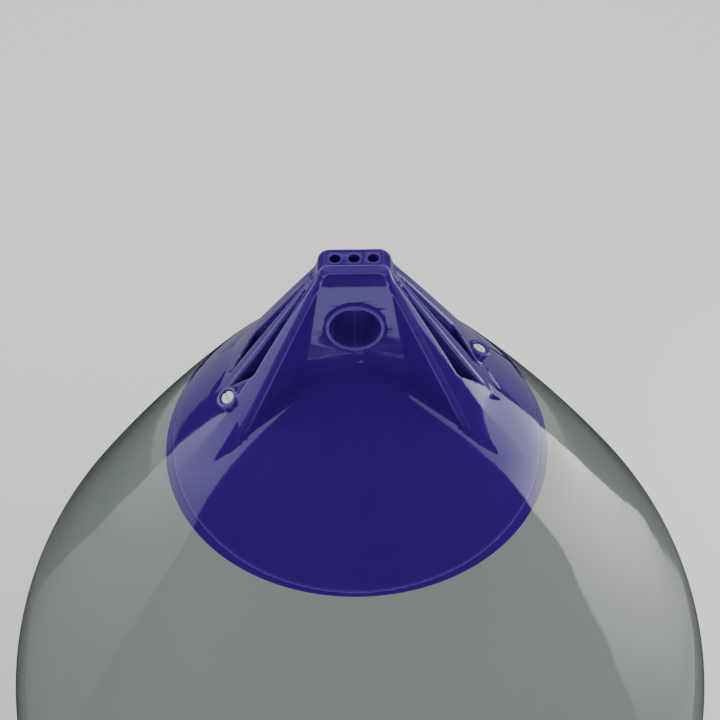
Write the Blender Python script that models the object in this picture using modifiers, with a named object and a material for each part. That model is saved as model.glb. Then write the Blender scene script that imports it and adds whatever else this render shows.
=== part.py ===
"""Inflatable mooring buoy: a round vinyl body under a moulded rope-eye end with two air valves.

Metres, +Z up, front towards -Y. The origin is the centre of the rope hole. The buoy is upright,
eye up, and heights called "above the equator" start from its widest circle.
"""

import math

import bmesh
import bpy
from mathutils import Matrix, Vector

# Body outline, from the equator up: shoulder, flank, then the dome of the rope-eye end
BODY_RADIUS = 0.343
EYE_HEIGHT = 0.5195  # rope hole's centre above the equator
EYE_RISE = 0.02863  # rope hole's centre above the dome's point
SHOULDER_RADIUS = 0.2740
SHOULDER_TILT = math.radians(31.2)  # how far the outward normal has turned up at its end
FLANK_LENGTH = 0.2920
FLANK_TILT = math.radians(35.9)
DOME_RADIUS = 0.295
GAP = 0.0003  # between pieces that touch

# Rope-eye end: wall of its dome, and the tent of solid vinyl that rises to the crown
END_WALL = 0.006
TENT_TOP_RADIUS = 0.027
TENT_SLOPE = math.radians(31.5)  # half angle of the tent's cones
TENT_OFFSET = 0.040  # each side is part of a cone whose axis stands this far past the middle
TENT_SKEW = 0.006  # and this far towards that side's valve, for more vinyl round it
TENT_REACH = 0.120  # radius where the tent is well inside the dome

# Crown on top of the eye, with its three blind holes
CROWN_HEIGHT = 0.0515  # its top above the rope hole's centre
CROWN_THICKNESS = 0.0150
CROWN_HALF_LENGTH = 0.0262
CROWN_HALF_DEPTH = 0.0112
CROWN_ROUNDING = 0.0050
CROWN_CORNER = 0.0090  # of its outline, seen from above
CROWN_HOLE_RADIUS = 0.0040
CROWN_HOLE_DEPTH = 0.0140
CROWN_HOLE_PITCH = 0.0124

# Eye: the pillar's leaning faces, and the webs that run out to the ribs beside them
FACE_LIP = 0.0008  # how far the crown overhangs the face
FACE_LEAN = math.radians(6.2)
WEB_ANGLE = math.radians(32.3)  # from the X axis
WEB_START = 0.0040  # where the web's line crosses the X axis
ROPE_HOLE_RADIUS = 0.0173
BEAD_WIDTH = 0.0032  # radius of the rounded bead round the rope hole
BEAD_SINK = 0.0004  # how far the bead's centre lies behind the face

# Pockets between the ribs, as seen from above, for one quarter
POCKET_START = 0.0280  # along X, where a pocket begins under the crown
POCKET_END = 0.0975  # along X, beside the middle rib's tip
MIDDLE_RIB_HALF_WIDTH = 0.0035
POCKET_CORNER = (0.0720, 0.0220)  # where the end edge meets the front rib

# Air valves, one in front on the left and one behind on the right
VALVE_RADIUS = 0.0925  # from the buoy's axis, on the tent
VALVE_TURN = math.radians(13.0)  # from the X axis
VALVE_RISE = 0.0110  # it stands at least this far above the dome, for its insert's sake
VALVE_LEAN = math.radians(28.0)  # of its axis, from upright
VALVE_LEAN_TURN = math.radians(24.0)
COLLAR_RADIUS = 0.0086
COLLAR_HEIGHT = 0.0050
COLLAR_ROOT = 0.0100
COLLAR_ROUNDING = 0.0013
INSERT_RADIUS = 0.0054
INSERT_TOP = -0.0005
INSERT_LENGTH = 0.0115
FLANGE_RADIUS = 0.0072
FLANGE_TOP = -0.0045
FLANGE_THICKNESS = 0.0016
SEAL_RADIUS = 0.0040
SEAL_THICKNESS = 0.0016
HEAD_RADIUS = 0.0050
HEAD_HEIGHT = 0.0022
HEAD_CHAMFER = 0.0005
SHANK_RADIUS = 0.0025
SHANK_TIP = 0.0008
SHANK_END = -0.0100
SLOT_WIDTH = 0.0014
SLOT_DEPTH = 0.0011
AIR_WAY_LENGTH = 0.0200

# Fineness of round shapes
RING_STEPS = 64
SMALL_STEPS = 24
CORNER_STEPS = 4

# Places worked out from the sizes above
EQUATOR = -EYE_HEIGHT
FACE_TOP = CROWN_HEIGHT - CROWN_THICKNESS
FACE_DEPTH = CROWN_HALF_DEPTH - FACE_LIP
BORE_RADIUS = INSERT_RADIUS + GAP
THREAD_RADIUS = SHANK_RADIUS + GAP
SEAL_HEIGHT = INSERT_TOP + GAP + SEAL_THICKNESS / 2
HEAD_UNDERSIDE = INSERT_TOP + 2 * GAP + SEAL_THICKNESS
INSERT_END = INSERT_TOP - INSERT_LENGTH


def clear_scene():
    for obj in list(bpy.data.objects):
        bpy.data.objects.remove(obj)


def new_collection(name):
    collection = bpy.data.collections.new(name)
    bpy.context.scene.collection.children.link(collection)
    return collection


def material(name, colour, roughness):
    made = bpy.data.materials.new(name)
    made.use_nodes = True
    shader = made.node_tree.nodes["Principled BSDF"]
    shader.inputs["Base Color"].default_value = (*colour, 1)
    shader.inputs["Roughness"].default_value = roughness
    shader.inputs["Metallic"].default_value = 0
    return made


def add_object(name, mesh, collection, finish=None):
    obj = bpy.data.objects.new(name, mesh)
    collection.objects.link(obj)
    if finish:
        mesh.materials.append(finish)
    return obj


def as_cutter(obj):
    """A helper that shapes other pieces and is no piece itself."""
    obj.hide_render = True
    obj.display_type = "WIRE"
    return obj


def from_bmesh(name, bm, collection, finish=None):
    bmesh.ops.recalc_face_normals(bm, faces=bm.faces)
    mesh = bpy.data.meshes.new(name)
    bm.to_mesh(mesh)
    bm.free()
    return add_object(name, mesh, collection, finish)


def turned(name, outline, steps, collection, finish=None, closed=False):
    """Revolves an outline of (radius, height) that runs down its outer side."""
    bm = bmesh.new()
    verts = [bm.verts.new((radius, 0, height)) for radius, height in outline]
    ends = verts[1:] + verts[:1] if closed else verts[1:]
    for start, end in zip(verts, ends):
        bm.edges.new((start, end))
    mesh = bpy.data.meshes.new(name)
    bm.to_mesh(mesh)
    bm.free()
    obj = add_object(name, mesh, collection, finish)
    spin = obj.modifiers.new("spin", "SCREW")
    spin.axis = "Z"
    spin.steps = steps
    spin.render_steps = steps
    spin.use_merge_vertices = True
    spin.merge_threshold = 0.00001
    return obj


def rod(name, radius, low, high, collection, steps=SMALL_STEPS):
    """An upright cylinder between two heights."""
    bm = bmesh.new()
    bmesh.ops.create_cone(
        bm, cap_ends=True, segments=steps, radius1=radius, radius2=radius, depth=high - low
    )
    bmesh.ops.translate(bm, verts=bm.verts, vec=(0, 0, (high + low) / 2))
    return as_cutter(from_bmesh(name, bm, collection))


def block(name, size, centre, collection):
    bm = bmesh.new()
    bmesh.ops.create_cube(bm, size=1)
    bmesh.ops.scale(bm, verts=bm.verts, vec=size)
    bmesh.ops.translate(bm, verts=bm.verts, vec=centre)
    return as_cutter(from_bmesh(name, bm, collection))


def plate(name, outline, low, high, collection):
    """A flat outline in XY, made solid between two heights."""
    curve = bpy.data.curves.new(name, "CURVE")
    curve.dimensions = "2D"
    curve.fill_mode = "BOTH"
    curve.extrude = (high - low) / 2
    spline = curve.splines.new("POLY")
    spline.points.add(len(outline) - 1)
    for point, (x, y) in zip(spline.points, outline):
        point.co = (x, y, 0, 1)
    spline.use_cyclic_u = True
    drawn = bpy.data.objects.new(name + "_outline", curve)
    bpy.context.scene.collection.objects.link(drawn)
    graph = bpy.context.evaluated_depsgraph_get()
    mesh = bpy.data.meshes.new_from_object(drawn.evaluated_get(graph))
    bpy.data.objects.remove(drawn)
    bm = bmesh.new()
    bm.from_mesh(mesh)
    bpy.data.meshes.remove(mesh)
    bmesh.ops.remove_doubles(bm, verts=bm.verts, dist=0.00001)
    bmesh.ops.translate(bm, verts=bm.verts, vec=(0, 0, (high + low) / 2))
    return as_cutter(from_bmesh(name, bm, collection))


def place(obj, matrix):
    obj.matrix_world = matrix
    return obj


def combine(obj, other, operation):
    change = obj.modifiers.new(other.name, "BOOLEAN")
    change.operation = operation
    change.solver = "EXACT"
    change.object = other


def round_edges(obj, width, segments, angle=30):
    bevel = obj.modifiers.new("rounding", "BEVEL")
    bevel.width = width
    bevel.segments = segments
    bevel.limit_method = "ANGLE"
    bevel.angle_limit = math.radians(angle)


def weld(obj):
    """Joins the doubled points that Booleans leave."""
    joined = obj.modifiers.new("weld", "WELD")
    joined.merge_threshold = 0.00001


def is_upright(edge):
    start, end = edge.verts
    return abs(start.co.z - end.co.z) > GAP


def is_level(edge):
    """Along the top or the bottom, and not between two faces that lie flat together."""
    return not is_upright(edge) and edge.calc_face_angle() > math.radians(45)


def round_in_mesh(bm, edges, width, segments):
    bmesh.ops.bevel(
        bm, geom=edges, offset=width, segments=segments, profile=0.5, affect="EDGES", material=-1
    )


def smooth(obj, angle=30):
    obj.data.shade_smooth()
    obj.data.set_sharp_from_angle(angle=math.radians(angle))


def arc(start, tilt, end_tilt, radius, steps):
    """(radius, height, normal's tilt) along an arc that leaves a point with a given normal."""
    centre_r = start[0] - radius * math.cos(tilt)
    centre_z = start[1] - radius * math.sin(tilt)
    points = []
    for step in range(steps + 1):
        angle = tilt + (end_tilt - tilt) * step / steps
        points.append(
            (centre_r + radius * math.cos(angle), centre_z + radius * math.sin(angle), angle)
        )
    return points


def inward(points, depth):
    """The same outline, a depth inside it."""
    return [
        (r - depth * math.cos(tilt), z - depth * math.sin(tilt), tilt) for r, z, tilt in points
    ]


def to_axis(points):
    """Ends an upward outline on the axis, where its last stretch crosses it."""
    kept = [point for point in points if point[0] > GAP]
    (r1, z1, _), (r2, z2, _) = kept[-2], kept[-1]
    apex = z2 + (z1 - z2) * r2 / (r2 - r1)
    return kept + [(0.0, apex, math.pi / 2)]


def drawn_flank():
    """Equator to the colour line, as the arcs come out."""
    shoulder = arc((BODY_RADIUS, EQUATOR), 0, SHOULDER_TILT, SHOULDER_RADIUS, 9)
    flank_radius = FLANK_LENGTH / (FLANK_TILT - SHOULDER_TILT)
    flank = arc(shoulder[-1], SHOULDER_TILT, FLANK_TILT, flank_radius, 4)
    return shoulder[:-1] + flank


def drawn_dome():
    """Colour line to the axis, where the dome comes to a blunt point."""
    rim = drawn_flank()[-1]
    top_tilt = math.acos(math.cos(FLANK_TILT) - rim[0] / DOME_RADIUS)
    return arc(rim, FLANK_TILT, top_tilt, DOME_RADIUS, 10)


def under_eye(points):
    """Stretches an outline upward or down so that the dome's point keeps its place under the eye."""
    stretch = (EYE_HEIGHT - EYE_RISE) / (drawn_dome()[-1][1] - EQUATOR)
    return [
        (r, EQUATOR + (z - EQUATOR) * stretch, math.atan2(math.sin(tilt) / stretch, math.cos(tilt)))
        for r, z, tilt in points
    ]


def flank_outline():
    return under_eye(drawn_flank())


def dome_outline():
    return under_eye(drawn_dome())


def heights(points):
    return [(max(r, 0.0), z) for r, z, _ in points]


def tent_height(x, y=0.0):
    """Height of the tent's surface over a point at its right."""
    reach = math.hypot(x + TENT_OFFSET, y - TENT_SKEW) - TENT_OFFSET
    return FACE_TOP - (reach - TENT_TOP_RADIUS) / math.tan(TENT_SLOPE)


def dome_height(radius):
    """Height of the dome's surface at a distance from the buoy's axis."""
    outline = dome_outline()
    for (r1, z1, _), (r2, z2, _) in zip(outline, outline[1:]):
        if r2 <= radius:
            break
    return z1 + (z2 - z1) * (radius - r1) / (r2 - r1)


def face_depth(height):
    """How far the eye's leaning face stands from the middle plane at a height."""
    return FACE_DEPTH + (FACE_TOP - height) * math.tan(FACE_LEAN)


def make_body(collection, finish):
    """The blown body: round below, a long flank above, and stepped in under the rope-eye end."""
    flank = flank_outline()
    under = inward(dome_outline(), END_WALL + GAP)
    below = arc((BODY_RADIUS, EQUATOR), 0, -math.pi / 2, BODY_RADIUS, 14)
    radius, height, tilt = flank[-1]
    step = (radius + GAP * math.sin(tilt), height - GAP * math.cos(tilt), tilt)
    seat = inward([step], END_WALL + GAP)
    top = to_axis(under)
    outline = top[::-1] + seat + [step] + flank[-2::-1] + below[1:]
    outline[-1] = (0.0, outline[-1][1], 0)
    obj = turned("buoy_body", heights(outline), RING_STEPS, collection, finish)
    return obj


def make_dome(collection, finish):
    """The dome of the rope-eye end, still solid underneath."""
    outer = to_axis(dome_outline())
    seat = inward(outer[:1], 3 * END_WALL)[0]
    outline = outer[::-1] + [seat, (0.0, seat[1], 0)]
    return turned("rope_eye_end", heights(outline), RING_STEPS, collection, finish)


def make_cavity(cutters):
    """What lies under the dome's wall, cut from the end once all else is joined to it."""
    inner = to_axis(inward(dome_outline(), END_WALL))
    radius, height, tilt = inner[0]
    reach = 5 * END_WALL
    edge = (radius + reach * math.sin(tilt), height - reach * math.cos(tilt), tilt)
    outline = inner[::-1] + [edge, (0.0, edge[1], 0)]
    return as_cutter(turned("cavity", heights(outline), RING_STEPS, cutters))


def make_tent(cutters):
    """The form that the ribs are left standing from, from the crown's foot into the dome.

    It is what two cones share, one for each side.
    """
    top = FACE_TOP + CROWN_ROUNDING
    floor = tent_height(TENT_REACH)
    top_radius = TENT_TOP_RADIUS - (top - FACE_TOP) * math.tan(TENT_SLOPE)
    outline = [
        (0.0, top),
        (TENT_OFFSET + top_radius, top),
        (TENT_OFFSET + TENT_REACH, floor),
        (0.0, floor),
    ]
    tent, other = [as_cutter(turned("tent", outline, RING_STEPS, cutters)) for _ in range(2)]
    tent.location = (-TENT_OFFSET, TENT_SKEW, 0)
    other.location = (TENT_OFFSET, -TENT_SKEW, 0)
    combine(tent, other, "INTERSECT")
    return tent


def make_face_cutter(side, cutters):
    """The open space before the eye's face, between the webs. side is -1 in front, 1 behind."""
    reach = 2 * TENT_REACH
    low = tent_height(TENT_REACH) - 0.02
    top = FACE_TOP + 2 * CROWN_ROUNDING
    bm = bmesh.new()
    bmesh.ops.create_cube(bm, size=2)
    for vert in bm.verts:
        height = top if vert.co.z > 0 else low
        depth = reach if vert.co.y > 0 else face_depth(height)
        across = WEB_START + depth / math.tan(WEB_ANGLE)
        vert.co = (math.copysign(across, vert.co.x), side * depth, height)
    return as_cutter(from_bmesh("face_space", bm, cutters))


def make_pocket_cutter(x_side, y_side, cutters):
    """The space between the middle rib and the rib beside the eye, in one quarter."""
    outline = [
        (POCKET_START, MIDDLE_RIB_HALF_WIDTH),
        (POCKET_END, MIDDLE_RIB_HALF_WIDTH),
        POCKET_CORNER,
    ]
    outline = [(x * x_side, y * y_side) for x, y in outline]
    low = tent_height(TENT_REACH) - 0.02
    return plate("pocket", outline, low, FACE_TOP, cutters)


def make_crown(cutters):
    """A rounded bar that lies over the ribs and the eye."""
    bm = bmesh.new()
    bmesh.ops.create_cube(bm, size=1)
    size = (2 * CROWN_HALF_LENGTH, 2 * CROWN_HALF_DEPTH, CROWN_THICKNESS)
    bmesh.ops.scale(bm, verts=bm.verts, vec=size)
    bmesh.ops.translate(bm, verts=bm.verts, vec=(0, 0, CROWN_HEIGHT - CROWN_THICKNESS / 2))
    upright = [edge for edge in bm.edges if is_upright(edge)]
    round_in_mesh(bm, upright, CROWN_CORNER, CORNER_STEPS)
    level = [edge for edge in bm.edges if is_level(edge)]
    round_in_mesh(bm, level, CROWN_ROUNDING, CORNER_STEPS)
    return as_cutter(from_bmesh("crown", bm, cutters))


def make_bead(side, cutters):
    """The rounded ring that stands proud of the face round the rope hole."""
    lean = math.pi / 2 + side * FACE_LEAN
    bpy.ops.mesh.primitive_torus_add(
        location=(0, side * (face_depth(0) - BEAD_SINK), 0),
        rotation=(lean, 0, 0),
        major_segments=32,
        minor_segments=10,
        major_radius=ROPE_HOLE_RADIUS + BEAD_WIDTH / 2,
        minor_radius=BEAD_WIDTH,
    )
    bead = bpy.context.active_object
    bead.name = "bead"
    for owner in list(bead.users_collection):
        owner.objects.unlink(bead)
    cutters.objects.link(bead)
    return as_cutter(bead)


def make_rope_bore(cutters):
    bore = rod("rope_bore", ROPE_HOLE_RADIUS, -2 * TENT_TOP_RADIUS, 2 * TENT_TOP_RADIUS, cutters, 40)
    return place(bore, Matrix.Rotation(math.pi / 2, 4, "X"))


def valve_frame(side):
    """Where a valve stands: its origin on the tent, its +Z out along the valve. side -1 is left."""
    x = VALVE_RADIUS * math.cos(VALVE_TURN)
    y = VALVE_RADIUS * math.sin(VALVE_TURN)
    z = max(tent_height(x, y), dome_height(VALVE_RADIUS) + VALVE_RISE)
    axis = Vector(
        (
            math.sin(VALVE_LEAN) * math.cos(VALVE_LEAN_TURN),
            math.sin(VALVE_LEAN) * math.sin(VALVE_LEAN_TURN),
            math.cos(VALVE_LEAN),
        )
    )
    frame = Matrix.Translation((x, y, z))
    frame = frame @ axis.to_track_quat("Z", "Y").to_matrix().to_4x4()
    return Matrix.Rotation(0 if side > 0 else math.pi, 4, "Z") @ frame


def make_rope_eye_end(collection, cutters, finish):
    """The moulded end: dome, six ribs, eye, crown and valve collars in one piece."""
    tent = make_tent(cutters)
    for side in (-1, 1):
        combine(tent, make_face_cutter(side, cutters), "DIFFERENCE")
    for x_side in (-1, 1):
        for y_side in (-1, 1):
            combine(tent, make_pocket_cutter(x_side, y_side, cutters), "DIFFERENCE")
    combine(tent, make_crown(cutters), "UNION")
    for side in (-1, 1):
        combine(tent, make_bead(side, cutters), "UNION")
        collar = rod("collar", COLLAR_RADIUS, -COLLAR_ROOT, COLLAR_HEIGHT, cutters)
        round_edges(collar, COLLAR_ROUNDING, 2)
        combine(tent, place(collar, valve_frame(side)), "UNION")
    combine(tent, make_rope_bore(cutters), "DIFFERENCE")
    for step in (-1, 0, 1):
        low = CROWN_HEIGHT - CROWN_HOLE_DEPTH
        hole = rod("crown_hole", CROWN_HOLE_RADIUS, low, CROWN_HEIGHT + 0.01, cutters, 20)
        hole.location.x = step * CROWN_HOLE_PITCH
        combine(tent, hole, "DIFFERENCE")

    end = make_dome(collection, finish)
    combine(end, tent, "UNION")
    combine(end, make_cavity(cutters), "DIFFERENCE")
    for side in (-1, 1):
        bore = rod("valve_bore", BORE_RADIUS, INSERT_END - GAP, 2 * COLLAR_HEIGHT, cutters)
        combine(end, place(bore, valve_frame(side)), "DIFFERENCE")
        groove_low = FLANGE_TOP - FLANGE_THICKNESS - GAP
        groove = rod("flange_groove", FLANGE_RADIUS + GAP, groove_low, FLANGE_TOP + GAP, cutters)
        combine(end, place(groove, valve_frame(side)), "DIFFERENCE")
    smooth(end)
    return end


def cut_air_ways(pieces, cutters):
    """The way for air from each valve through the end and into the body."""
    for side in (-1, 1):
        low = INSERT_END - AIR_WAY_LENGTH
        way = rod("air_way", THREAD_RADIUS, low, INSERT_END + 0.002, cutters, 16)
        place(way, valve_frame(side))
        for piece in pieces:
            combine(piece, way, "DIFFERENCE")


def make_valve(side, name, collection, cutters, finishes):
    frame = valve_frame(side)
    flange_low = FLANGE_TOP - FLANGE_THICKNESS
    insert_outline = [
        (THREAD_RADIUS, INSERT_TOP),
        (INSERT_RADIUS, INSERT_TOP),
        (INSERT_RADIUS, FLANGE_TOP),
        (FLANGE_RADIUS, FLANGE_TOP),
        (FLANGE_RADIUS, flange_low),
        (INSERT_RADIUS, flange_low),
        (INSERT_RADIUS, INSERT_END),
        (THREAD_RADIUS, INSERT_END),
    ]
    insert = turned(
        "valve_insert_" + name, insert_outline, SMALL_STEPS, collection, finishes["insert"], True
    )

    bpy.ops.mesh.primitive_torus_add(
        location=(0, 0, 0),
        major_segments=SMALL_STEPS,
        minor_segments=8,
        major_radius=SEAL_RADIUS,
        minor_radius=SEAL_THICKNESS / 2,
    )
    seal = bpy.context.active_object
    seal.name = "valve_seal_" + name
    for owner in list(seal.users_collection):
        owner.objects.unlink(seal)
    collection.objects.link(seal)
    seal.data.materials.append(finishes["seal"])
    seal_frame = frame @ Matrix.Translation((0, 0, SEAL_HEIGHT))

    head_top = HEAD_UNDERSIDE + HEAD_HEIGHT
    screw_outline = [
        (0.0, head_top),
        (HEAD_RADIUS - HEAD_CHAMFER, head_top),
        (HEAD_RADIUS, head_top - HEAD_CHAMFER),
        (HEAD_RADIUS, HEAD_UNDERSIDE),
        (SHANK_RADIUS, HEAD_UNDERSIDE),
        (SHANK_RADIUS, SHANK_END + SHANK_TIP),
        (SHANK_RADIUS - SHANK_TIP, SHANK_END),
        (0.0, SHANK_END),
    ]
    screw = turned(
        "valve_screw_" + name, screw_outline, SMALL_STEPS, collection, finishes["screw"]
    )
    slot_size = (4 * HEAD_RADIUS, SLOT_WIDTH, 2 * SLOT_DEPTH)
    slot = block("screw_slot", slot_size, (0, 0, head_top), cutters)
    combine(screw, place(slot, frame), "DIFFERENCE")

    for piece, matrix in ((insert, frame), (seal, seal_frame), (screw, frame)):
        place(piece, matrix)
        smooth(piece)


def main():
    clear_scene()
    parts = new_collection("mooring_buoy")
    cutters = new_collection("cutters")
    grey_vinyl = material("grey vinyl", (0.215, 0.245, 0.225), 0.15)
    violet_vinyl = material("violet vinyl", (0.030, 0.015, 0.190), 0.15)
    finishes = {
        "insert": material("grey nylon", (0.35, 0.35, 0.34), 0.45),
        "seal": material("black rubber", (0.02, 0.02, 0.02), 0.6),
        "screw": material("white nylon", (0.85, 0.85, 0.83), 0.35),
    }
    body = make_body(parts, grey_vinyl)
    end = make_rope_eye_end(parts, cutters, violet_vinyl)
    cut_air_ways((end, body), cutters)
    for obj in (end, body):
        weld(obj)
    smooth(body)
    for side, name in ((-1, "left"), (1, "right")):
        make_valve(side, name, parts, cutters, finishes)


main()
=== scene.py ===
"""Looks of the inflatable mooring buoy: vinyl body, moulded rope-eye end and two air valves.

Metres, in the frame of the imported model: the origin is the centre of the rope hole, +Z is up and
the front faces -Y.
"""

import math

import bmesh
import bpy
import numpy as np
from bpy.props import FloatProperty, FloatVectorProperty, IntProperty, PointerProperty
from mathutils import Matrix, Vector


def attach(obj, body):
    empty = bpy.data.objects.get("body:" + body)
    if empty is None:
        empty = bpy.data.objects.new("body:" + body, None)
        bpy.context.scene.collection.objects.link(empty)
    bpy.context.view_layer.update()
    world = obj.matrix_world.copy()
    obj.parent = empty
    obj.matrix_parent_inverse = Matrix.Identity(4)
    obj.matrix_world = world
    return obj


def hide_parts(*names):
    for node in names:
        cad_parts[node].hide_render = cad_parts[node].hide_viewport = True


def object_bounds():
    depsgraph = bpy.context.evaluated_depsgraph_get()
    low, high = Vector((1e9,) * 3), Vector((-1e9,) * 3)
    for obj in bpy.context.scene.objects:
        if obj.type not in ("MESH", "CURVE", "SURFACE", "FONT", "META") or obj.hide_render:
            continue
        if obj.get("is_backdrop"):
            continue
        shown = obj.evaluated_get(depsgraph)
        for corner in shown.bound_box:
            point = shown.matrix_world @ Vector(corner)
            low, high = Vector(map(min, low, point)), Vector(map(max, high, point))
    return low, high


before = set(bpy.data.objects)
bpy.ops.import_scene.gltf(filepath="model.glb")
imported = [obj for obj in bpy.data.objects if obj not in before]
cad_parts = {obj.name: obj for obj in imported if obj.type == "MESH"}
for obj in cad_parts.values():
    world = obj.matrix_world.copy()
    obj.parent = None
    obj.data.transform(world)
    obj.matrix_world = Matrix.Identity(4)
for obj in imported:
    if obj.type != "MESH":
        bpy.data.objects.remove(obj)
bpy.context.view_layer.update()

bl_info = {
    "name": "Mooring buoy",
    "version": (1, 0, 0),
    "blender": (4, 5, 0),
    "location": "3D View > Sidebar > Buoy",
    "description": "Makes an inflatable mooring buoy with a moulded rope-eye end",
    "category": "Add Mesh",
}

# Body outline, from the equator up
BODY_RADIUS = 0.343
EQUATOR = -0.5195
SHOULDER_RADIUS = 0.2740
SHOULDER_TILT = math.radians(31.2)
FLANK_LENGTH = 0.2920
FLANK_TILT = math.radians(35.9)
DOME_RADIUS = 0.295
END_WALL = 0.006
LAP = 0.0045  # of the body's edge under the end's skin
SEAM = 0.00005  # between the body and the end, which are fused
OVERLAP = 0.0010  # of the end's colour over the body's edge
SIDE_OVERLAP = 0.0045  # how much more of it there is at the sides

# Tent of the rope-eye end, and the crown over it
TENT_TOP_RADIUS = 0.027
TENT_SLOPE = math.radians(31.5)
TENT_OFFSET = 0.040
TENT_SKEW = 0.003
RIB_FALL = 0.36  # how much faster the tent falls off towards its front ribs
RIB_FALL_START = 0.30  # from this slope of Y over X on
OUTER_FILLET = 0.0070  # more fillet at the tent's foot, away from the eye and the pockets
OUTER_FILLET_START = 0.0100  # this far from them it has all of it
CROWN_HEIGHT = 0.0515
CROWN_THICKNESS = 0.0150
CROWN_ROOT = 0.0080  # how far the crown reaches down into the tent
CROWN_EDGE = 0.0044
CROWN_END = 0.0120  # from here on outwards its edge grows rounder
CROWN_END_EDGE = 0.0030  # by this much
CROWN_FOOT_EDGE = 0.0016
CROWN_FILLET = 0.0040
CROWN_HALF_LENGTH = 0.0238
CROWN_HALF_DEPTH = 0.0112
CROWN_CORNER = 0.0110
CROWN_HOLE_RADIUS = 0.0038
CROWN_HOLE_DEPTH = 0.0140
CROWN_HOLE_PITCH = 0.0124
CROWN_HOLE_EDGE = 0.0005
FACE_TOP = CROWN_HEIGHT - CROWN_THICKNESS
FACE_LIP = 0.0008
FACE_LIP_DEPTH = CROWN_HALF_DEPTH - FACE_LIP
FACE_BEND = 0.0050  # height over which the face bends from upright to leaning
FACE_LEAN = math.radians(6.2)
WEB_ANGLE = math.radians(32.6)
WEB_START = 0.0072
ROPE_HOLE_RADIUS = 0.0173
BEAD_WIDTH = 0.0024
BEAD_SINK = 0.0002
BEAD_REACH = 0.0010  # how far its middle lies outside the rope hole
BEAD_FILLET = 0.0010
BORE_EDGE = 0.0012
WEB_FILLET = 0.0004  # between the face and the webs

# Pockets between the ribs
POCKET_START = 0.0280
POCKET_END = 0.0975
MIDDLE_RIB_HALF_WIDTH = 0.0026
MIDDLE_RIB_FLARE = 0.075  # how fast it grows wider outwards
POCKET_CORNER = (0.0720, 0.0220)
POCKET_FILLET = 0.0012  # along its inner corner
POCKET_END_FILLET = 0.0016
POCKET_EDGE = 0.0020

# Air valves
VALVE_PLACE = Vector((0.0901292, 0.0208080, -0.0678880))
VALVE_AXIS = Vector((0.4288836, 0.1909513, 0.8829476))
COLLAR_RADIUS = 0.0086
COLLAR_HEIGHT = 0.0050
COLLAR_ROOT = 0.0100
COLLAR_EDGE = 0.0012
COLLAR_FILLET = 0.0008
COLLAR_SURROUND = 1.6 * COLLAR_RADIUS
GAP = 0.0003  # round the insert
BORE_RADIUS = 0.0057
BORE_MOUTH_EDGE = 0.0005
AIR_WAY_LAP = 0.0010
INSERT_RADIUS = 0.0054
INSERT_TOP = -0.0005
INSERT_LENGTH = 0.0115
FLANGE_RADIUS = 0.0072
FLANGE_TOP = -0.0045
FLANGE_THICKNESS = 0.0016
THREAD_RADIUS = 0.0028
SEAL_RADIUS = 0.0040
SEAL_THICKNESS = 0.0016
SEAL_HEIGHT = 0.0006
HEAD_RADIUS = 0.0050
HEAD_HEIGHT = 0.0022
HEAD_UNDERSIDE = 0.0017
SHANK_RADIUS = 0.0025
SHANK_END = -0.0100
SLOT_WIDTH = 0.0014
SLOT_DEPTH = 0.0011
THREAD_PITCH = 0.0015
INSERT_EDGE = 0.0003
HEAD_EDGE = 0.0006
HEAD_CROWNING = 0.0001  # the head's middle stands this much above its edge
HEAD_FLAT = HEAD_RADIUS - 0.0011
HEAD_BEVEL = 0.0002
SHANK_TIP = 0.0008
RIDGE_CREST = SHANK_RADIUS + 0.00022
RIDGE_ROOT = SHANK_RADIUS - 0.0003
RIDGE_HALF_WIDTH = 0.00042
RIDGE_HALF_CREST = 0.0001
THREAD_START = SHANK_END + 0.0012
THREAD_END = HEAD_UNDERSIDE - 0.0004

# Fineness
VALVE_STEPS = 48
SCREW_STEPS = 56
SEAL_STEPS = 16
HEAD_STEPS = 4
THREAD_STEPS = 28  # in a turn
TURNED_MERGE = 0.000002  # points of a turned shape that are nearer than this become one
SHARP_ANGLE = math.radians(35)  # an edge that bends more than this looks sharp
DOME_STEPS = 16
BOTTOM_STEPS = 96

# How the end's faces are laid on its form
PROBE = 0.00002  # distance over which its slope is measured
LEAST_STEEPNESS = 0.2
LONGEST_STEP = 0.0012
EVENING = 0.6  # share of the way towards the middle of its neighbours
DETAIL_FACING = 0.985  # a face that leans more than this from the dome is a detail
DETAIL_DEPTH = 0.0040
DETAIL_REACH = 0.1250  # from the buoy's axis
KEPT_FACES = 0.49  # share of the small faces that are kept in the end
MERGE = 0.00001  # points nearer than this become one

# Where the end's edges stand out, in bends per metre, and the painted highlight that lightens them
# there
CREST_LEAST = 18
CREST_RANGE = 90
CREST_ROUNDS = 3
# Painted highlight: a lighter lilac along the convex edges, and its share where they stand out
# most
CREST_HIGHLIGHT_COLOUR = (0.16, 0.13, 0.44, 1)
CREST_HIGHLIGHT_SHARE = 0.42  # of that colour where they stand out most

# Camera, in line with the reference picture
CAMERA_PLACE = (0.0, -0.5184, 0.5627)
CAMERA_VIEW = (0, 0.6454, -0.7639)
CAMERA_ROLL = math.radians(-0.8)
CAMERA_LENS = 56.025
CAMERA_SENSOR = 36
CAMERA_SHIFT = 0.0062

# Lamps: brightness at heights of the upright ones, which fall off down and to the front
LEFT_STOPS = [(-0.75, 0.1), (-0.45, 0.4), (-0.20, 1.2), (0.05, 1.8), (0.8, 1.8)]
RIGHT_STOPS = [(-0.75, 0.5), (-0.55, 1.7), (-0.30, 3.6), (0.0, 1.7), (0.9, 1.4)]
SIDE_SLANT = 0.55
SIDE_DISTANCE = 0.95
LEFT_OUTLINE = [(-0.25, -1.0), (0.47, -1.0), (0.48, 0.8), (0.05, 0.8)]
RIGHT_OUTLINE = [
    (-0.30, -1.04),
    (0.69, -1.04),
    (0.69, 0.9),
    (0.0, 0.9),
    (0.0, -0.35),
    (-0.30, -0.70),
]
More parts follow.
